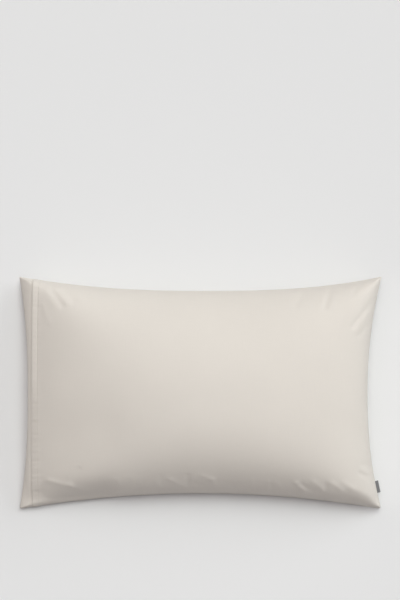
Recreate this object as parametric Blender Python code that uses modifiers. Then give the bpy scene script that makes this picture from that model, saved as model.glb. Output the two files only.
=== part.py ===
"""A plain pillowcase, filled by its pillow and lying on its back.

Metres, +Z up. X runs along the case from the open end (-X) to the closed end (+X), Y across it.
Three pieces: the filled body with the back panel and the strip turned over at the open end, the
front panel with its hem, and the folded label in the seam of the closed end.
"""
import bmesh
import bpy
import math
from mathutils import Vector

MM = 0.001

# ---------------------------------------------------------------- driving sizes
HALF_LENGTH = 362.6 * MM        # middle to corner along X, with the case filled
HALF_WIDTH = 232.6 * MM         # middle to corner along Y
CROWN_RISE = 107 * MM           # top of the crown over the seam
SEAM_HEIGHT = 56 * MM           # seam over the ground at the middle of each side
TOP_DROP = 34 * MM              # how much lower the seam's corners are, at the top
BOTTOM_DROP = 45 * MM           # and at the bottom
SEAM_LIP = 2 * MM               # flat lip along the sewn sides
CLOTH = 1.5 * MM                # thickness of the panels
GAP = 0.3 * MM                  # clear space between neighbouring pieces

FLAP_WIDTH = 27.8 * MM          # turned-over strip at the open end, from the fold to the hem
HEM_LEAN = 1.2 * MM             # how far the hem's line leans from its middle to each end
HEM_WIDTH = 12.5 * MM           # folded hem of the front panel
HEM_EXTRA = 1 * MM              # how much thicker than the panel its hem is

LABEL_FROM_Y = -176 * MM        # the label's two ends along the seam
LABEL_TO_Y = -200 * MM
LABEL_REACH = 7.6 * MM          # out from the seam
LABEL_THICKNESS = 1.2 * MM
LABEL_DROOP = 2.5 * MM          # how far its outer fold hangs under the seam
LABEL_CELLS = (6, 4)            # along the seam, out from it

# How far the middle of each side is drawn in between its corners. The bow's power is given for the
# half of the side towards -X or -Y and for the half towards +X or +Y.
#              depth      power_low  power_high
DRAWN_IN = {
    "top":        (28.8 * MM, 2.3, 2.7),
    "bottom":     (32.2 * MM, 2.0, 2.0),
    "open_end":   (18.9 * MM, 2.5, 2.5),
    "closed_end": (30.4 * MM, 2.2, 2.1),
}

# Corner radii, by the signs of X and Y.
CORNER_RADIUS = {(-1, 1): 2 * MM, (1, 1): 2 * MM, (-1, -1): 5 * MM, (1, -1): 5 * MM}

# From a side inwards the front rises as (1 - (1 - share)^power)^root, with the share going from 0 at
# the side to 1 at the middle. The underside drops to the ground over a part of that share.
#              power  root  under_share
PROFILE = {
    "top":        (2.0,  0.48,  0.30),
    "bottom":     (3.1,  0.54,  0.30),
    "open_end":   (1.95, 0.74,  0.20),
    "closed_end": (2.0,  0.44,  0.20),
}
UNDER_POWER, UNDER_ROOT = 2, 0.56
PRESSED = 1.05                  # the underside is cut off flat where it would sag below the ground
HIP = 4                         # how crisp the hips are that run into the corners

# Main folds of the front: a soft ridge (height over 0) or trough (under 0) along a line, in mm.
#   from_x from_y to_x   to_y  height half_width
FOLDS = (
    (-260,   -85,  -200,   -70,  -3.5,  48.0),
    ( 300,   -70,   312,   -90,  -2.5,  34.0),
    (-296,   206,  -273,   174,  -2.8,   7.8),
    (-285,   208,  -260,   178,   2.2,   7.8),
    (-269,   205,  -250,   184,  -1.8,   7.8),
    (-306,   203,  -289,   171,   1.6,   7.8),
    ( 352,   197,   300,   134,  -3.0,   7.8),
    ( 332,   165,   304,   125,   1.6,   7.8),
    ( 343,   151,   315,   116,  -2.0,   7.8),
    ( 260,   208,   244,   170,  -2.4,   7.8),
    ( 207,   203,   187,   172,  -2.0,   7.8),
    (-302,  -171,  -250,  -184,   1.8,   7.8),
    (-345,  -214,  -195,  -208, -19.0,  28.0),
    ( 300,  -214,   345,  -218,  -4.0,  16.0),
    (-240,  -146,  -256,  -173,  -2.0,   7.8),
    ( -60,  -165,   -29,  -187,   2.6,   7.8),
    ( -25,  -159,   -19,  -183,  -3.0,   7.8),
    (   5,  -159,    27,  -182,   2.6,   7.8),
    ( 133,  -167,   137,  -187,   2.2,   7.8),
    ( 188,  -173,   206,  -194,   3.0,   7.8),
    ( 200,  -178,   225,  -191,  -2.4,   7.8),
    ( 284,  -176,   341,  -206,   1.8,   8.0),
    ( 317,  -155,   335,  -168,  -1.6,   7.8),
)
FOLD_FADE = 3                   # folds reach full height where the crown has risen by 1/3

FLAP_COLUMNS = 4
HEM_COLUMNS = 2
FRONT_COLUMNS = 50              # from the hem to the lip of the closed end
ROWS = 30                       # between the lips of the top and bottom
SPREAD_X = 0.60                 # 1 spaces the lines evenly, less packs them towards the ends
SPREAD_Y = 0.38

SHARP_ANGLE = math.radians(50)  # edges sharper than this stay crisp in the shading

IVORY = (0.79, 0.745, 0.69, 1.0)
GREY = (0.23, 0.23, 0.24, 1.0)


# ---------------------------------------------------------------- outline and heights
def drawn_in(side, along):
    """How far a side is drawn in at along, from -1 at one corner to 1 at the other."""
    depth, power_low, power_high = DRAWN_IN[side]
    power = power_low if along < 0 else power_high
    return depth * (1 - min(1, abs(along)) ** power)


def rounded(flat_x, flat_y):
    """Moves a point near a corner of the flat rectangle in from the square to the round corner."""
    sign_x, sign_y = (1 if flat_x > 0 else -1), (1 if flat_y > 0 else -1)
    radius = CORNER_RADIUS[sign_x, sign_y]
    over_x = abs(flat_x) - HALF_LENGTH + radius
    over_y = abs(flat_y) - HALF_WIDTH + radius
    if over_x <= 0 or over_y <= 0:
        return flat_x, flat_y
    scale = max(over_x, over_y) / math.hypot(over_x, over_y)
    return (sign_x * (HALF_LENGTH - radius + over_x * scale),
            sign_y * (HALF_WIDTH - radius + over_y * scale))


def plan(flat_x, flat_y):
    """Place of a point of the flat rectangle once the filled case has drawn its sides in."""
    flat_x, flat_y = rounded(flat_x, flat_y)
    u, v = flat_x / HALF_LENGTH, flat_y / HALF_WIDTH
    if u < 0:
        flap_share = max(0, 1 - (flat_x + HALF_LENGTH) / FLAP_WIDTH)
        x = flat_x + flap_share * drawn_in("open_end", v) + (1 - flap_share) * HEM_LEAN * v * u * u
    else:
        x = flat_x - u * u * drawn_in("closed_end", v)
    return x, flat_y - v * drawn_in("top" if v > 0 else "bottom", u)


def near_sides(x, y):
    """The nearest end and the nearest long side of a point, each with how far in from it the point
    is: 0 at the side, 1 at the middle."""
    end, side = ("closed_end" if x > 0 else "open_end"), ("top" if y > 0 else "bottom")
    near = []
    for name, across, half, along, lip in (
            (end, abs(x), HALF_LENGTH, y / HALF_WIDTH, SEAM_LIP if x > 0 else 0),
            (side, abs(y), HALF_WIDTH, x / HALF_LENGTH, SEAM_LIP)):
        inset = half - drawn_in(name, along) - lip - across
        near.append((name, max(0, min(1, inset / (half - drawn_in(name, 0) - lip)))))
    return near


def seam_height(y):
    return SEAM_HEIGHT - (TOP_DROP if y > 0 else BOTTOM_DROP) * (y / HALF_WIDTH) ** 2


def crown(x, y):
    """Rise of the front over the seam, as a share of the crown's: nearly the lower of the rises from
    the nearest end and the nearest long side."""
    rises = []
    for name, share in near_sides(x, y):
        power, root, _ = PROFILE[name]
        rises.append((1 - (1 - share) ** power) ** root)
    end, side = rises
    if min(rises) == 0:
        return 0
    return end * side / (end ** HIP + side ** HIP - (end * side) ** HIP) ** (1 / HIP)


def folds(x, y):
    """Height of the main folds at a point."""
    total = 0
    here = Vector((x, y)) / MM
    for from_x, from_y, to_x, to_y, height, half_width in FOLDS:
        start, run = Vector((from_x, from_y)), Vector((to_x - from_x, to_y - from_y))
        along = max(0, min(1, (here - start).dot(run) / run.length_squared))
        away = (here - start - along * run).length
        total += height * MM * math.exp(-(away / half_width) ** 2)
    return total


def front_point(flat_x, flat_y):
    x, y = plan(flat_x, flat_y)
    rise = crown(x, y)
    return Vector((x, y, seam_height(y) + CROWN_RISE * rise + min(1, FOLD_FADE * rise) * folds(x, y)))


def under_point(flat_x, flat_y):
    x, y = plan(flat_x, flat_y)
    drop = 1
    for side, share in near_sides(x, y):
        _, _, under_share = PROFILE[side]
        part = min(1, share / under_share)
        drop *= min(1, PRESSED * (1 - (1 - part) ** UNDER_POWER) ** UNDER_ROOT)
    return Vector((x, y, (seam_height(y) - CLOTH) * (1 - drop)))


# ---------------------------------------------------------------- grids
def spaced(start, end, cells, spread):
    """Lines from start to end, packed towards both."""
    middle, half = (start + end) / 2, (end - start) / 2
    lines = []
    for index in range(cells + 1):
        even = 2 * index / cells - 1
        lines.append(middle + half * (spread * even + (1 - spread) * math.sin(even * math.pi / 2)))
    return lines


def column_lines():
    """Flat X of each line of the grid, from the fold of the open end to the closed end."""
    hem = -HALF_LENGTH + FLAP_WIDTH
    flap = [-HALF_LENGTH + FLAP_WIDTH * index / FLAP_COLUMNS for index in range(FLAP_COLUMNS)]
    band = [hem + HEM_WIDTH * index / HEM_COLUMNS for index in range(HEM_COLUMNS)]
    front = spaced(hem + HEM_WIDTH, HALF_LENGTH - SEAM_LIP, FRONT_COLUMNS, SPREAD_X)
    return flap + band + front + [HALF_LENGTH]


def row_lines():
    lip = HALF_WIDTH - SEAM_LIP
    return [-HALF_WIDTH] + spaced(-lip, lip, ROWS, SPREAD_Y) + [HALF_WIDTH]


def add_grid(bm, columns, rows, place):
    """Adds a grid with a vertex at place(column, row) for each pair of lines."""
    grid = bmesh.ops.create_grid(bm, x_segments=len(columns) - 1, y_segments=len(rows) - 1, size=1)
    for vert in grid["verts"]:
        column = round((vert.co.x + 1) / 2 * (len(columns) - 1))
        row = round((vert.co.y + 1) / 2 * (len(rows) - 1))
        vert.co = place(columns[column], rows[row])
    return grid["verts"]


def finish_object(bm, name, material, parent):
    bmesh.ops.recalc_face_normals(bm, faces=bm.faces)
    mesh = bpy.data.meshes.new(name)
    bm.to_mesh(mesh)
    bm.free()
    mesh.shade_smooth()
    mesh.set_sharp_from_angle(angle=SHARP_ANGLE)
    mesh.materials.append(material)
    piece = bpy.data.objects.new(name, mesh)
    piece.parent = parent
    parent.users_collection[0].objects.link(piece)
    return piece


def cloth_material(name, colour, roughness):
    material = bpy.data.materials.new(name)
    material.use_nodes = True
    shader = material.node_tree.nodes["Principled BSDF"]
    shader.inputs["Base Color"].default_value = colour
    shader.inputs["Roughness"].default_value = roughness
    shader.inputs["Metallic"].default_value = 0
    return material


# ---------------------------------------------------------------- pieces
def make_body(material, parent):
    """Back panel, turned-over strip and filling: one closed form, flat where it lies."""
    bm = bmesh.new()
    add_grid(bm, column_lines(), row_lines(), front_point)
    add_grid(bm, column_lines(), row_lines(), under_point)
    rims = [edge for edge in bm.edges if edge.is_boundary]
    bmesh.ops.bridge_loops(bm, edges=rims)
    return finish_object(bm, "case_body", material, parent)


def make_front_panel(material, parent):
    """The front cloth, lifted clear of the body, from its hem to the sewn sides."""
    bm = bmesh.new()
    columns = column_lines()[FLAP_COLUMNS:]
    add_grid(bm, columns, row_lines(), front_point)
    bm.normal_update()
    lifted = {vert: vert.co + vert.normal * GAP * vert.calc_shell_factor() for vert in bm.verts}
    for vert, place in lifted.items():
        vert.co = place
    bm.verts.index_update()
    hem_end = plan(columns[HEM_COLUMNS], 0)[0] + HEM_LEAN
    hem_verts = [vert.index for vert in bm.verts if vert.co.x < hem_end + GAP]
    panel = finish_object(bm, "front_panel", material, parent)
    hem_group = panel.vertex_groups.new(name="hem")
    hem_group.add(hem_verts, 1, "REPLACE")
    shell = panel.modifiers.new("cloth", "SOLIDIFY")
    shell.thickness = CLOTH + HEM_EXTRA
    shell.offset = 1
    shell.use_even_offset = True
    shell.vertex_group = "hem"
    shell.thickness_vertex_group = CLOTH / (CLOTH + HEM_EXTRA)
    return panel


def make_label(material, parent):
    """A folded ribbon that sticks out of the closed end's seam and hangs a little."""
    def place(share_along, share_out):
        y = LABEL_FROM_Y + share_along * (LABEL_TO_Y - LABEL_FROM_Y)
        edge = Vector((HALF_LENGTH - drawn_in("closed_end", y / HALF_WIDTH), y))
        step = Vector((HALF_LENGTH - drawn_in("closed_end", (y - MM) / HALF_WIDTH), y - MM)) - edge
        out = Vector((-step.y, step.x)).normalized()
        spot = edge + out * (GAP + share_out * LABEL_REACH)
        return Vector((spot.x, spot.y, seam_height(y) - LABEL_DROOP * share_out ** 2))

    bm = bmesh.new()
    along, outward = LABEL_CELLS
    add_grid(bm, [index / along for index in range(along + 1)],
             [index / outward for index in range(outward + 1)], place)
    label = finish_object(bm, "label", material, parent)
    ribbon = label.modifiers.new("ribbon", "SOLIDIFY")
    ribbon.thickness = LABEL_THICKNESS
    ribbon.offset = 0
    return label


def stand_on_origin(base, pieces):
    """Moves the base so that the box of all its pieces is centred over the origin."""
    bpy.context.view_layer.update()
    depsgraph = bpy.context.evaluated_depsgraph_get()
    corners = [Vector(corner) for piece in pieces for corner in piece.evaluated_get(depsgraph).bound_box]
    for axis in (0, 1):
        places = [corner[axis] for corner in corners]
        base.location[axis] = -(min(places) + max(places)) / 2


def main():
    for old in list(bpy.data.objects):
        bpy.data.objects.remove(old, do_unlink=True)
    collection = bpy.data.collections.new("pillowcase")
    bpy.context.scene.collection.children.link(collection)
    base = bpy.data.objects.new("pillowcase", None)
    collection.objects.link(base)
    cotton = cloth_material("ivory cotton", IVORY, 0.75)
    ribbon = cloth_material("grey ribbon", GREY, 0.7)
    pieces = [make_body(cotton, base), make_front_panel(cotton, base), make_label(ribbon, base)]
    stand_on_origin(base, pieces)


main()
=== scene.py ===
"""Looks of a plain pale cotton pillowcase, filled by its pillow and lying on its back.

Metres, in the frame of the solids. The cloth is worked out as a height over a flat rectangle, which
is how it was cut: X runs from the open end to the closed end and Y across.
"""
import math

import bmesh
import bpy
import numpy as np
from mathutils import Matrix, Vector


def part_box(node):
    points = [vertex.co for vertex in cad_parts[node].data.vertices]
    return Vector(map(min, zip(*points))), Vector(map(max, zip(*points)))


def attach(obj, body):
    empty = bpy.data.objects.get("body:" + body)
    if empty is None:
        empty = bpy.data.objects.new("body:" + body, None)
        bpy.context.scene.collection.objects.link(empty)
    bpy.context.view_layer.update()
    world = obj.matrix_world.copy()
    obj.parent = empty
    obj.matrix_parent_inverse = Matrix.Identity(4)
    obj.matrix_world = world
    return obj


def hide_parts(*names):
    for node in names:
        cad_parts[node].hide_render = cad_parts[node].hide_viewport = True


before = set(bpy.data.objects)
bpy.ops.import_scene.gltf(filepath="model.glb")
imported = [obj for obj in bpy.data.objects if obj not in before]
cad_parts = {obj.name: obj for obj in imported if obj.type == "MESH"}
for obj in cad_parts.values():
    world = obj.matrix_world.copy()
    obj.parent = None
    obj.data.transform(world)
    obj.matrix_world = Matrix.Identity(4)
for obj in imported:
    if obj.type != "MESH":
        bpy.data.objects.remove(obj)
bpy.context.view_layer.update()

MM = 0.001

# ---------------------------------------------------------------- sizes
HALF_LENGTH = 362.6 * MM        # middle to corner along X
HALF_WIDTH = 232.6 * MM         # middle to corner along Y
CROWN_RISE = 107 * MM           # top of the crown over the seam
SEAM_HEIGHT = 56 * MM           # seam over the ground at the middle of each side
TOP_DROP = 34 * MM              # how much lower the seam's corners are, at the top
BOTTOM_DROP = 45 * MM           # and at the bottom
SEAM_LIP = 1.5 * MM             # rounded lip along the sewn sides
RIM = 0.6 * MM                  # height of the body's edge under the seam
RIDGE_HEIGHT = 0.5 * MM         # bead along the seams, where the cloth's edges are turned in
RIDGE_WIDTH = 5 * MM
GATHER_HEIGHT = 0.35 * MM       # fine puckers where the thread draws the seams up
GATHER_MIDDLE, GATHER_SPREAD = 7 * MM, 6 * MM
GATHER_LENGTHS = (0.011, 0.017, 0.026, 0.043)

FLAP_WIDTH = 27.8 * MM          # turned-over strip at the open end
HEM_LEAN = 1.2 * MM
HEM_WIDTH = 12.5 * MM
HEM_STITCH_IN = 11 * MM         # the hem's stitch line, in from its edge
HEM_CREASE_IN = 7 * MM          # the soft line along the hem where its raw edge is turned in
HEM_ROUND = 0.6 * MM            # how far in from its edge the hem starts to turn under
HEM_SETTLE = 5 * MM             # over which the front comes down from the hem's thickness
HEM_GROOVE = 2.2 * MM           # how far the hem's edge presses into the strip under it
HEM_GROOVE_WIDTH = 4.5 * MM
HEM_LIFT_TOP = 4.0 * MM         # how far the hem's edge stands off the strip in its upper half
HEM_LIFT_BOTTOM = 1.0 * MM      # and in its lower half
HEM_LIFT_BLEND = 22 * MM
HEM_LIFT_END = 30 * MM          # over which the hem comes down to each sewn side
HEM_PUCKER = 0.34 * MM
HEM_PUCKER_LENGTHS = (0.009, 0.013, 0.02, 0.035)
HEM_PUCKER_MIDDLE, HEM_PUCKER_SPREAD = 8 * MM, 9 * MM
STITCH_PRESS, STITCH_PRESS_WIDTH = 0.3 * MM, 1.1 * MM
CREASE_PRESS, CREASE_PRESS_WIDTH = 0.15 * MM, 1.2 * MM
EXTRA_HEM_LINES = np.array([0.6, 6.2, 7.8, 10.2, 11.8, 13.5, 15]) * MM

STITCH_LENGTH, STITCH_PITCH, STITCH_THICK = 2.6 * MM, 3.2 * MM, 0.35 * MM
STITCH_SIDES = 6
STITCH_CLEAR = 8 * MM           # the row of stitches stops this far short of the sewn sides
STITCH_SUNK = 0.1 * MM
STITCH_RINGS = np.array([-1, -0.8, 0, 0.8, 1])             # along a stitch, and its girth there
STITCH_GIRTHS = np.array([0.15, 0.75, 1, 0.75, 0.15])

THREAD_CLOTH = 0.45 * MM        # thickness of the cotton
UNDER_LAYER = 0.35 * MM         # middle of the hem's under layer over the body
TOP_LAYER = 0.95 * MM           # middle of its top layer
FRONT_LAYER = 0.55 * MM         # middle of the front cloth away from the hem

LABEL_FROM_Y, LABEL_TO_Y = -176 * MM, -200 * MM
LABEL_REACH = 6.6 * MM          # out from the seam
LABEL_TUCK = 2.0 * MM           # into the seam
LABEL_DROOP = 2.5 * MM          # how far its outer fold hangs
RIBBON = 0.4 * MM
LABEL_LINES, LABEL_REACH_LINES = 13, 8

# The middle of each side is drawn in between its corners.
#              depth      power_low  power_high
DRAWN_IN = {
    "top":        (28.8 * MM, 2.3, 2.7),
    "bottom":     (32.2 * MM, 2.0, 2.0),
    "open_end":   (18.9 * MM, 2.5, 2.5),
    "closed_end": (30.4 * MM, 2.2, 2.1),
}
CORNER_RADIUS = {(-1, 1): 2 * MM, (1, 1): 2 * MM, (-1, -1): 5 * MM, (1, -1): 8 * MM}

# From a side inwards the cloth rises as (1 - (1 - share)^power)^root.
#              power  root  under_share
PROFILE = {
    "top":        (2.0,  0.48,  0.30),
    "bottom":     (3.1,  0.54,  0.30),
    "open_end":   (1.95, 0.74,  0.20),
    "closed_end": (2.0,  0.44,  0.20),
}
HIP = 4                         # how crisp the hips are that run into the corners
TINY = 1e-9
UNDER_POWER, UNDER_ROOT = 2, 0.56
PRESSED = 1.05                  # the underside is cut off flat where it would sag below the ground

# Folds of the front: a soft ridge (height over 0) or trough (under 0) along a line, in mm.
#   from_x from_y  to_x   to_y  height half_width
FOLDS = (
    ( -260,   -85,  -200,   -70,  -3.5,  48.0),
    (  300,   -70,   312,   -90,  -2.5,  34.0),
    ( -296,   206,  -273,   174,  -1.3,   5.8),
    ( -287,   208,  -262,   180,   0.8,   6.2),
    ( -305,   203,  -288,   172,   0.3,   5.8),
    ( -314,   177,  -299,   142,   0.6,   5.8),
    ( -268,   203,  -251,   184,  -1.1,   5.8),
    ( -255,   205,  -233,   186,   0.8,   6.4),
    (  352,   196,   300,   134,  -1.9,   5.4),
    (  330,   157,   306,   125,   0.9,   5.8),
    (  343,   151,   315,   116,  -1.3,   5.3),
    (  260,   208,   246,   172,  -2.1,   6.3),
    (  207,   203,   189,   174,  -1.7,   6.3),
    (  313,   213,   304,   200,  -1.4,   4.4),
    ( -302,  -172,  -252,  -184,   1.8,   5.0),
    ( -345,  -214,  -195,  -208, -19.0,  28.0),
    (  300,  -214,   345,  -218,  -4.0,  16.0),
    ( -252,  -184,  -234,  -192,   1.2,   5.0),
    ( -241,  -148,  -256,  -171,  -1.6,   5.8),
    ( -184,  -181,  -183,  -187,  -1.4,   4.9),
    ( -165,  -169,  -161,  -179,   1.4,   4.9),
    ( -138,  -163,  -135,  -173,   1.0,   4.9),
    ( -123,  -167,  -120,  -175,   0.8,   4.4),
    (  -86,  -175,   -83,  -184,   1.2,   4.9),
    (  -79,  -161,   -77,  -173,  -0.8,   4.9),
    (  -60,  -169,   -29,  -185,   2.1,   4.9),
    (  -25,  -161,   -24,  -181,  -2.3,   4.4),
    (    5,  -161,    23,  -169,   1.7,   4.9),
    (   23,  -169,    27,  -181,   1.7,   4.9),
    (  -14,  -174,    18,  -185,  -1.7,   4.4),
    (   46,  -175,    66,  -181,  -1.0,   4.9),
    (  101,  -169,   103,  -181,   1.0,   4.9),
    (  133,  -173,   135,  -189,   1.7,   3.9),
    (  141,  -179,   142,  -190,  -1.7,   3.9),
    (  148,  -173,   158,  -186,   1.2,   4.4),
    (  189,  -175,   206,  -194,   2.5,   4.9),
    (  200,  -179,   223,  -191,  -1.9,   4.9),
    (  223,  -173,   243,  -190,   1.6,   5.3),
    (  247,  -179,   250,  -190,  -1.4,   4.9),
    (  260,  -176,   278,  -189,   1.4,   5.3),
    (  284,  -176,   300,  -187,   1.2,   7.0),
    (  300,  -187,   341,  -206,   1.0,   7.0),
    (  319,  -150,   333,  -157,   0.9,   4.9),
    (  316,  -157,   333,  -167,  -1.0,   4.9),
    (  322,  -140,   339,  -146,  -1.4,   5.8),
)
FOLD_FADE = 3                   # folds reach full height where the crown has risen by 1/3

# ---------------------------------------------------------------- camera, as the photo frames the case
PHOTO_WIDTH, PHOTO_HEIGHT = 400, 600
PHOTO_CASE_X, PHOTO_CASE_Y = 200.4, 393      # pixel of the middle of the case
PIXEL = 2.0 * MM                           # one pixel of the photo at the focus height
FOCUS_HEIGHT = 26 * MM                     # a mean height of the seams
CAMERA_HEIGHT = 6.0
SENSOR = 36.0

# ---------------------------------------------------------------- light
#              azimuth  elevation  angle  strength   colour
LIGHTS = (
    ("key",        65,      62,      35,    0.98,  (0.955, 1.0, 0.975)),
    ("overhead",   85,      74,      35,    0.80,  (0.955, 1.0, 0.975)),
    ("low_right",  30,      25,      42,    1.13,  (0.94, 0.97, 1.0)),
    ("high_left", 120,      60,      70,    0.68,  (1.0, 0.88, 0.89)),
    ("front",     270,      50,      70,    0.46,  (1.0, 0.92, 0.94)),
)
FILL = 0.01
FLOOR_HALF_SIZE = 6


def drawn_in(side, along):
    """How far a side is drawn in at along, from -1 at one corner to 1 at the other."""
    depth, power_low, power_high = DRAWN_IN[side]
    along = np.clip(along, -1, 1)
    return depth * (1 - np.abs(along) ** np.where(along < 0, power_low, power_high))


def rounded(flat_x, flat_y):
    """Moves points near the corners of the flat rectangle in from square to round corners."""
    flat_x, flat_y = flat_x.copy(), flat_y.copy()
    for (sign_x, sign_y), radius in CORNER_RADIUS.items():
        over_x = sign_x * flat_x - HALF_LENGTH + radius
        over_y = sign_y * flat_y - HALF_WIDTH + radius
        near = (over_x > 0) & (over_y > 0)
        scale = np.maximum(over_x, over_y)[near] / np.hypot(over_x, over_y)[near]
        flat_x[near] = sign_x * (HALF_LENGTH - radius + over_x[near] * scale)
        flat_y[near] = sign_y * (HALF_WIDTH - radius + over_y[near] * scale)
    return flat_x, flat_y


def plan(flat_x, flat_y):
    """Places of points of the flat rectangle once the filled case has drawn its sides in."""
    flat_x, flat_y = rounded(flat_x, flat_y)
    u, v = flat_x / HALF_LENGTH, flat_y / HALF_WIDTH
    flap_share = np.clip(1 - (flat_x + HALF_LENGTH) / FLAP_WIDTH, 0, 1)
    open_x = flat_x + flap_share * drawn_in("open_end", v) + (1 - flap_share) * HEM_LEAN * v * u * u
    closed_x = flat_x - u * u * drawn_in("closed_end", v)
    x = np.where(u < 0, open_x, closed_x)
    y = flat_y - v * np.where(v > 0, drawn_in("top", u), drawn_in("bottom", u))
    return x, y


def near_sides(x, y):
    """For the nearest end and the nearest long side of each point: how far in it is, as a length
    and as a share (0 at the lip, 1 at the middle), and that side's profile."""
    near = []
    for low, high, across, half, along in (("open_end", "closed_end", x, HALF_LENGTH, y / HALF_WIDTH),
                                           ("bottom", "top", y, HALF_WIDTH, x / HALF_LENGTH)):
        inset, share, profile = 0, 0, 0
        for name, here in ((low, across <= 0), (high, across > 0)):
            lip = 0 if name == "open_end" else SEAM_LIP
            side_inset = half - drawn_in(name, along) - np.abs(across)
            side_share = np.clip((side_inset - lip) / (half - DRAWN_IN[name][0] - lip), 0, 1)
            inset = inset + here * side_inset
            share = share + here * side_share
            profile = profile + here[..., None] * np.array(PROFILE[name])
        near.append((inset, share, profile))
    return near


def seam_height(y):
    return SEAM_HEIGHT - np.where(y > 0, TOP_DROP, BOTTOM_DROP) * (y / HALF_WIDTH) ** 2


def crown(x, y):
    """Rise of the front over the seam, as a share of the crown's: nearly the lower of the rises from
    the nearest end and the nearest long side, so that soft hips run into the corners."""
    end, side = (np.maximum(1 - (1 - share) ** profile[..., 0], TINY) ** profile[..., 1]
                 for _, share, profile in near_sides(x, y))
    return end * side / (end ** HIP + side ** HIP - (end * side) ** HIP) ** (1 / HIP)


def seam_distance(x, y):
    """Distance in from the sewn sides."""
    (end_inset, _, _), (side_inset, _, _) = near_sides(x, y)
    return np.minimum(np.where(x > 0, end_inset, 1), side_inset)


def seam_ridge(x, y):
    """Height of the round bead along the seams, 0 at the seam itself and past the lip."""
    part = np.clip(seam_distance(x, y) / RIDGE_WIDTH, 0, 1)
    return RIDGE_HEIGHT * np.sin(math.pi * part ** 0.7) ** 1.5


def folds(x, y):
    total = np.zeros_like(x)
    for from_x, from_y, to_x, to_y, height, half_width in FOLDS:
        start_x, start_y = from_x * MM, from_y * MM
        run_x, run_y = (to_x - from_x) * MM, (to_y - from_y) * MM
        along = ((x - start_x) * run_x + (y - start_y) * run_y) / (run_x ** 2 + run_y ** 2)
        along = np.clip(along, 0, 1)
        away = np.hypot(x - start_x - along * run_x, y - start_y - along * run_y)
        total += height * MM * np.exp(-(away / (half_width * MM)) ** 2)
    return total


def uneven(along, lengths, seed):
    """A smooth irregular wave, about -1 to 1, from sines of the given lengths."""
    phases = np.random.default_rng(seed).uniform(0, 2 * math.pi, len(lengths))
    waves = [np.sin(2 * math.pi * along / length + phase) for length, phase in zip(lengths, phases)]
    return sum(waves) / len(lengths) ** 0.5


def gathers(x, y):
    """Height of the fine puckers along the sewn sides."""
    along = np.where(np.abs(x) / HALF_LENGTH > np.abs(y) / HALF_WIDTH, y, x)
    near = np.exp(-((seam_distance(x, y) - GATHER_MIDDLE) / GATHER_SPREAD) ** 2)
    return GATHER_HEIGHT * near * uneven(along, GATHER_LENGTHS, 7)


def front_points(flat_x, flat_y):
    x, y = plan(flat_x, flat_y)
    rise = crown(x, y)
    z = seam_height(y) + CROWN_RISE * rise
    z = z + np.minimum(1, FOLD_FADE * rise) * (folds(x, y) + gathers(x, y))
    return np.stack([x, y, z + seam_ridge(x, y)], -1)


def under_points(flat_x, flat_y):
    x, y = plan(flat_x, flat_y)
    drop = 1
    for _, share, profile in near_sides(x, y):
        part = np.minimum(1, share / profile[..., 2])
        drop = drop * np.minimum(1, PRESSED * (1 - (1 - part) ** UNDER_POWER) ** UNDER_ROOT)
    z = (seam_height(y) - RIM - seam_ridge(x, y)) * (1 - drop)
    return np.stack([x, y, z], -1)


def normals_of(points, flat_x, flat_y, step=0.4 * MM):
    """Unit normals of a surface given as a function of the flat rectangle."""
    along_x = points(flat_x + step, flat_y) - points(flat_x - step, flat_y)
    along_y = points(flat_x, flat_y + step) - points(flat_x, flat_y - step)
    normals = np.cross(along_x, along_y)
    return normals / np.linalg.norm(normals, axis=-1, keepdims=True)


# ---------------------------------------------------------------- grids
def spaced(start, end, cells, spread):
    """Lines from start to end, packed towards both where spread is under 1."""
    even = np.linspace(-1, 1, cells + 1)
    return (start + end) / 2 + (end - start) / 2 * (spread * even + (1 - spread) * np.sin(even * math.pi / 2))


def lines(*stretches):
    """Joins stretches of lines that share their ends."""
    return np.concatenate([stretch[:-1] for stretch in stretches[:-1]] + [stretches[-1]])


HEM_X = -HALF_LENGTH + FLAP_WIDTH     # the hem's edge on the flat rectangle
LIP_LINES = 4
TURN_LINES = 7                  # round a fold of the hem or the label
FLAP_LINES, HEM_LINES, FRONT_LINES, CROSS_LINES = 14, 8, 190, 190
SPREAD_X, SPREAD_Y = 0.7, 0.55


def front_columns():
    lip_x = HALF_LENGTH - RIDGE_WIDTH
    return lines(
        np.linspace(HEM_X, HEM_X + HEM_WIDTH, HEM_LINES + 1),
        spaced(HEM_X + HEM_WIDTH, lip_x, FRONT_LINES, SPREAD_X),
        np.linspace(lip_x, HALF_LENGTH, LIP_LINES + 1),
    )


def row_lines():
    lip_y = HALF_WIDTH - RIDGE_WIDTH
    return lines(
        np.linspace(-HALF_WIDTH, -lip_y, LIP_LINES + 1),
        spaced(-lip_y, lip_y, CROSS_LINES, SPREAD_Y),
        np.linspace(lip_y, HALF_WIDTH, LIP_LINES + 1),
    )


def grid_faces(columns, rows, first=0, flip=False):
    """Quads of a grid whose vertices run along the rows first."""
    index = first + np.arange(columns * rows).reshape(columns, rows)
    quads = np.stack([index[:-1, :-1], index[1:, :-1], index[1:, 1:], index[:-1, 1:]], -1).reshape(-1, 4)
    return quads[:, ::-1] if flip else quads


def make_mesh(name, points, quads, flat):
    """An object from points and quads, with the flat pattern in metres as its UV map."""
    mesh = bpy.data.meshes.new(name)
    mesh.from_pydata(points.tolist(), [], quads.tolist())
    uv = mesh.uv_layers.new(name="cloth")
    corners = np.empty(len(mesh.loops), dtype=np.int32)
    mesh.loops.foreach_get("vertex_index", corners)
    uv.data.foreach_set("uv", flat[corners].astype(np.float32).ravel())
    mesh.shade_smooth()
    piece = bpy.data.objects.new(name, mesh)
    bpy.context.scene.collection.objects.link(piece)
    return piece


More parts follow.
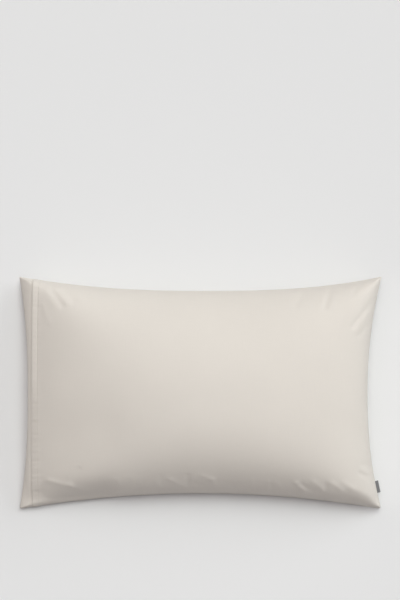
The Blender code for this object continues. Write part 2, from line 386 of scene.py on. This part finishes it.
# ---------------------------------------------------------------- materials
class Nodes:
    """Short calls for building a material's nodes."""

    def __init__(self, name):
        self.material = bpy.data.materials.new(name)
        self.material.use_nodes = True
        self.tree = self.material.node_tree
        self.shader = self.tree.nodes["Principled BSDF"]

    def add(self, kind, **settings):
        node = self.tree.nodes.new(kind)
        for key, value in settings.items():
            if key in node.inputs:
                node.inputs[key].default_value = value
            else:
                setattr(node, key, value)
        return node

    def link(self, source, target):
        self.tree.links.new(source, target)

    def maths(self, operation, first, second=None):
        node = self.add("ShaderNodeMath", operation=operation)
        for socket, value in zip(node.inputs, (first, second)):
            if isinstance(value, (int, float)):
                socket.default_value = value
            elif value is not None:
                self.link(value, socket)
        return node.outputs[0]


def woven(name, colour, thread, sheen, roughness):
    """Plain-weave cloth: crossed threads, slubs along both, and a slow drift of tone."""
    nodes = Nodes(name)
    flat = nodes.add("ShaderNodeUVMap", uv_map="cloth")
    split = nodes.add("ShaderNodeSeparateXYZ")
    nodes.link(flat.outputs[0], split.inputs[0])

    # Crossed threads: each set rises where the other dips.
    turns = math.pi / thread
    warp = nodes.maths("SINE", nodes.maths("MULTIPLY", split.outputs[0], turns))
    weft = nodes.maths("SINE", nodes.maths("MULTIPLY", split.outputs[1], turns))
    weave = nodes.maths("MULTIPLY", warp, weft)

    # Slubs: noise stretched along each set of threads.
    slubs = []
    for stretch in ((30, 900, 1), (900, 30, 1)):
        mapping = nodes.add("ShaderNodeMapping", Scale=stretch)
        nodes.link(flat.outputs[0], mapping.inputs[0])
        noise = nodes.add("ShaderNodeTexNoise", Scale=1.0, Detail=2.0, Roughness=0.6)
        nodes.link(mapping.outputs[0], noise.inputs["Vector"])
        slubs.append(noise.outputs[0])
    slub = nodes.maths("ADD", slubs[0], slubs[1])

    drift = nodes.add("ShaderNodeTexNoise", Scale=9.0, Detail=3.0, Roughness=0.5)
    nodes.link(flat.outputs[0], drift.inputs["Vector"])

    # Tone: 1 with small changes from slubs, threads and drift.
    tone = nodes.maths("MULTIPLY", nodes.maths("SUBTRACT", slub, 1.0), 0.035)
    tone = nodes.maths("ADD", tone, nodes.maths("MULTIPLY", weave, 0.012))
    slow = nodes.maths("MULTIPLY", nodes.maths("SUBTRACT", drift.outputs[0], 0.5), 0.05)
    tone = nodes.maths("ADD", nodes.maths("ADD", tone, slow), 1.0)
    scaled = nodes.add("ShaderNodeVectorMath", operation="SCALE")
    scaled.inputs[0].default_value = colour
    nodes.link(tone, scaled.inputs["Scale"])
    nodes.link(scaled.outputs[0], nodes.shader.inputs["Base Color"])

    height = nodes.maths("ADD", nodes.maths("MULTIPLY", weave, 0.5), nodes.maths("MULTIPLY", slub, 0.8))
    bump = nodes.add("ShaderNodeBump", Strength=0.35, Distance=0.00006)
    nodes.link(height, bump.inputs["Height"])
    nodes.link(bump.outputs[0], nodes.shader.inputs["Normal"])

    nodes.shader.inputs["Roughness"].default_value = roughness
    nodes.shader.inputs["Sheen Weight"].default_value = sheen
    nodes.shader.inputs["Sheen Roughness"].default_value = 0.4
    nodes.shader.inputs["Specular IOR Level"].default_value = 0.25
    return nodes.material


# ---------------------------------------------------------------- pieces
def shift_to_solids(points):
    """The move that seats the case's outline on the box of its solid."""
    low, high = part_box("case_body")
    middle = (Vector(low) + Vector(high)) / 2
    return np.array([middle.x - (points[:, 0].min() + points[:, 0].max()) / 2,
                     middle.y - (points[:, 1].min() + points[:, 1].max()) / 2, 0.0])


def body_front_points(flat_x, flat_y):
    """The front of the body, pressed in along the hem's edge."""
    points = front_points(flat_x, flat_y)
    from_hem = points[:, 0] - HEM_X - HEM_LEAN * points[:, 1] / HALF_WIDTH
    fade = np.clip(seam_distance(points[:, 0], points[:, 1]) / HEM_GROOVE_WIDTH, 0, 1)
    points[:, 2] -= HEM_GROOVE * fade * np.exp(-(from_hem / HEM_GROOVE_WIDTH) ** 2)
    return points


def make_body(material):
    """Back panel, turned-over strip and filling, as one closed form."""
    flap = np.linspace(-HALF_LENGTH, HEM_X, FLAP_LINES + 1)
    columns, rows = lines(flap, front_columns()), row_lines()
    flat_x, flat_y = (axis.ravel() for axis in np.meshgrid(columns, rows, indexing="ij"))
    points = np.concatenate([body_front_points(flat_x, flat_y), under_points(flat_x, flat_y)])
    flat = np.tile(np.stack([flat_x, flat_y], -1), (2, 1))
    size = len(columns), len(rows)
    quads = np.concatenate([grid_faces(*size), grid_faces(*size, first=len(flat_x), flip=True)])
    shift = shift_to_solids(points)
    body = make_mesh("filled_case", points + shift, quads, flat)
    bm = bmesh.new()
    bm.from_mesh(body.data)
    bmesh.ops.bridge_loops(bm, edges=[edge for edge in bm.edges if edge.is_boundary])
    bmesh.ops.recalc_face_normals(bm, faces=bm.faces)
    for face in bm.faces:
        face.smooth = True
    bm.to_mesh(body.data)
    bm.free()
    body.data.materials.append(material)
    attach(body, "root")
    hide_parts("case_body")
    return body, shift


def hem_lift(flat_x, flat_y):
    """How far the hem stands off the strip: most at its edge, none from its stitch line on."""
    upper_half = 1 / (1 + np.exp(-flat_y / HEM_LIFT_BLEND * 2))
    reach = np.clip(1 - (flat_x - HEM_X) / HEM_STITCH_IN, 0, 1)
    ends = np.clip((HALF_WIDTH - np.abs(flat_y)) / HEM_LIFT_END, 0, 1)
    return (HEM_LIFT_BOTTOM + (HEM_LIFT_TOP - HEM_LIFT_BOTTOM) * upper_half) * reach * ends


def hem_layers():
    """Flat X and height over the body for each line of the front cloth: the hem's under layer from
    its inner end to the edge, round the fold, and the top layer to the closed end."""
    round_x = HEM_X + HEM_ROUND
    under = np.linspace(HEM_X + HEM_WIDTH, round_x, HEM_LINES + 1)
    turn = np.linspace(-math.pi / 2, math.pi / 2, TURN_LINES)[1:-1]
    radius = (TOP_LAYER - UNDER_LAYER) / 2
    fold_x = round_x - radius * np.cos(turn)
    fold_height = (TOP_LAYER + UNDER_LAYER) / 2 + radius * np.sin(turn)
    top = np.sort(np.concatenate([front_columns(), HEM_X + EXTRA_HEM_LINES]))
    top = top[top >= round_x]
    settle = np.clip((top - HEM_X - HEM_WIDTH) / HEM_SETTLE, 0, 1)
    top_height = TOP_LAYER + (FRONT_LAYER - TOP_LAYER) * settle * settle * (3 - 2 * settle)
    return (np.concatenate([under, fold_x, top]),
            np.concatenate([np.full(len(under), UNDER_LAYER), fold_height, top_height]))


def make_front(material, shift):
    """The front cloth, with its hem folded under at the open end."""
    columns, heights = hem_layers()
    rows = row_lines()
    flat_x, flat_y = (axis.ravel() for axis in np.meshgrid(columns, rows, indexing="ij"))
    height = np.repeat(heights, len(rows))
    stitch = np.exp(-((flat_x - HEM_X - HEM_STITCH_IN) / STITCH_PRESS_WIDTH) ** 2)
    crease = np.exp(-((flat_x - HEM_X - HEM_CREASE_IN) / CREASE_PRESS_WIDTH) ** 2)
    band = np.exp(-((flat_x - HEM_X - HEM_PUCKER_MIDDLE) / HEM_PUCKER_SPREAD) ** 2)
    pucker = uneven(flat_y, HEM_PUCKER_LENGTHS, 3) * np.where(flat_y > 0, 0.5, 1)
    upper = (height > UNDER_LAYER + THREAD_CLOTH / 2).astype(float)
    lift = upper * (-STITCH_PRESS * stitch - CREASE_PRESS * crease)
    points = front_points(flat_x, flat_y)
    normals = normals_of(front_points, flat_x, flat_y)
    off = height + lift + HEM_PUCKER * band * (1 + pucker)
    points = points + normals * off[:, None]
    points[:, 2] += hem_lift(flat_x, flat_y)
    flat = np.stack([flat_x, flat_y], -1)
    quads = grid_faces(len(columns), len(rows))
    front = make_mesh("front_cloth", points + shift, quads, flat)
    shell = front.modifiers.new("cloth", "SOLIDIFY")
    shell.thickness = THREAD_CLOTH
    shell.offset = 0
    front.data.materials.append(material)
    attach(front, "root")
    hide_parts("front_panel")
    return front


def make_stitches(material, shift):
    """The row of thread that holds the hem, each stitch a short spindle lying in its groove."""
    ends = HALF_WIDTH - STITCH_CLEAR
    middles = np.arange(-ends, ends, STITCH_PITCH)
    turn = np.arange(STITCH_SIDES) * 2 * math.pi / STITCH_SIDES
    points, quads, flat = [], [], []
    for middle in middles:
        flat_y = middle + STITCH_RINGS * STITCH_LENGTH / 2
        flat_x = np.full(len(STITCH_RINGS), HEM_X + HEM_STITCH_IN)
        up = normals_of(front_points, flat_x, flat_y)
        stand = TOP_LAYER + THREAD_CLOTH / 2 + HEM_PUCKER - STITCH_SUNK
        spine = front_points(flat_x, flat_y) + up * stand
        side = np.cross(up, np.gradient(spine, axis=0))
        side /= np.linalg.norm(side, axis=1, keepdims=True)
        first = sum(len(ring) for ring in points)
        for centre, out, rise, girth in zip(spine, side, up, STITCH_GIRTHS * STITCH_THICK / 2):
            points.append(centre + girth * (np.cos(turn)[:, None] * out + np.sin(turn)[:, None] * rise))
            flat.append(np.tile([HEM_X, middle], (STITCH_SIDES, 1)))
        for ring in range(len(STITCH_RINGS) - 1):
            for at in range(STITCH_SIDES):
                here, after = first + ring * STITCH_SIDES, (at + 1) % STITCH_SIDES
                over = here + STITCH_SIDES
                quads.append([here + at, here + after, over + after, over + at])
    points, flat = np.concatenate(points), np.concatenate(flat)
    stitches = make_mesh("hem_stitching", points + shift, np.array(quads), flat)
    stitches.data.materials.append(material)
    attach(stitches, "root")
    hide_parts("front_panel")


def make_label(material, shift):
    """A ribbon folded in two and caught in the closed end's seam."""
    ys = np.linspace(LABEL_FROM_Y, LABEL_TO_Y, LABEL_LINES)
    edge_x = HALF_LENGTH - drawn_in("closed_end", ys / HALF_WIDTH)
    slope = np.gradient(edge_x, ys)
    out = np.stack([np.ones_like(ys), -slope], -1)
    out /= np.linalg.norm(out, axis=1, keepdims=True)
    # Round the ribbon: over from the seam, round its fold and back under.
    gap = RIBBON * 0.75
    reach = np.linspace(-LABEL_TUCK, LABEL_REACH - gap, LABEL_REACH_LINES)
    turn = np.linspace(math.pi / 2, -math.pi / 2, TURN_LINES)[1:-1]
    outs = np.concatenate([reach, reach[-1] + gap * np.cos(turn), reach[::-1]])
    ups = np.concatenate([np.full(len(reach), gap), gap * np.sin(turn), np.full(len(reach), -gap)])
    points, flat = [], []
    travel = np.concatenate([[0], np.cumsum(np.hypot(np.diff(outs), np.diff(ups)))])
    for y, x, direction in zip(ys, edge_x, out):
        base = seam_height(y) - RIM / 2
        sag = LABEL_DROOP * np.clip(outs / LABEL_REACH, 0, 1) ** 2
        points.append(np.stack([x + direction[0] * outs, y + direction[1] * outs, base + ups - sag], -1))
        flat.append(np.stack([travel, np.full(len(outs), y)], -1))
    points, flat = np.concatenate(points), np.concatenate(flat)
    label = make_mesh("side_label", points + shift, grid_faces(len(ys), len(outs), flip=True), flat)
    shell = label.modifiers.new("ribbon", "SOLIDIFY")
    shell.thickness = RIBBON
    shell.offset = 0
    label.data.materials.append(material)
    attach(label, "root")
    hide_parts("label")
    return label


def make_floor():
    mesh = bpy.data.meshes.new("floor")
    size = FLOOR_HALF_SIZE
    corners = [(-size, -size, 0), (size, -size, 0), (size, size, 0), (-size, size, 0)]
    mesh.from_pydata(corners, [], [(0, 1, 2, 3)])
    floor = bpy.data.objects.new("floor", mesh)
    bpy.context.scene.collection.objects.link(floor)
    nodes = Nodes("pale_floor")
    nodes.shader.inputs["Base Color"].default_value = (0.80, 0.80, 0.80, 1)
    nodes.shader.inputs["Roughness"].default_value = 0.9
    nodes.shader.inputs["Specular IOR Level"].default_value = 0.1
    mesh.materials.append(nodes.material)


def make_lights():
    for name, azimuth, elevation, angle, strength, colour in LIGHTS:
        light = bpy.data.lights.new(name, "SUN")
        light.energy = strength
        light.angle = math.radians(angle)
        light.color = colour
        lamp = bpy.data.objects.new(name, light)
        azimuth, elevation = math.radians(azimuth), math.radians(elevation)
        towards = Vector((math.cos(azimuth) * math.cos(elevation), math.sin(azimuth) * math.cos(elevation),
                          math.sin(elevation)))
        lamp.rotation_euler = towards.to_track_quat("Z", "Y").to_euler()
        bpy.context.scene.collection.objects.link(lamp)
    world = bpy.data.worlds.new("soft_room")
    world.use_nodes = True
    world.node_tree.nodes["Background"].inputs["Color"].default_value = (1, 1, 1, 1)
    world.node_tree.nodes["Background"].inputs["Strength"].default_value = FILL
    bpy.context.scene.world = world


def make_camera(shift):
    """Straight above the middle of the photo's frame, looking down."""
    camera = bpy.data.cameras.new("camera")
    camera.sensor_width = SENSOR
    half_frame = PHOTO_HEIGHT / 2 * PIXEL
    camera.lens = SENSOR / 2 * (CAMERA_HEIGHT - FOCUS_HEIGHT) / half_frame
    eye = bpy.data.objects.new("camera", camera)
    eye.location = (shift[0] + (PHOTO_WIDTH / 2 - PHOTO_CASE_X) * PIXEL,
                    shift[1] + (PHOTO_CASE_Y - PHOTO_HEIGHT / 2) * PIXEL, CAMERA_HEIGHT)
    bpy.context.scene.collection.objects.link(eye)
    bpy.context.scene.camera = eye


def main():
    bpy.context.scene.view_settings.view_transform = "Standard"
    cotton = woven("ivory_cotton", (0.735, 0.688, 0.630), 0.3 * MM, 0.15, 0.8)
    ribbon = woven("grey_ribbon", (0.195, 0.195, 0.2), 0.35 * MM, 0.1, 0.7)
    body, shift = make_body(cotton)
    make_front(cotton, shift)
    make_stitches(cotton, shift)
    make_label(ribbon, shift)
    make_floor()
    make_lights()
    make_camera(shift)


main()
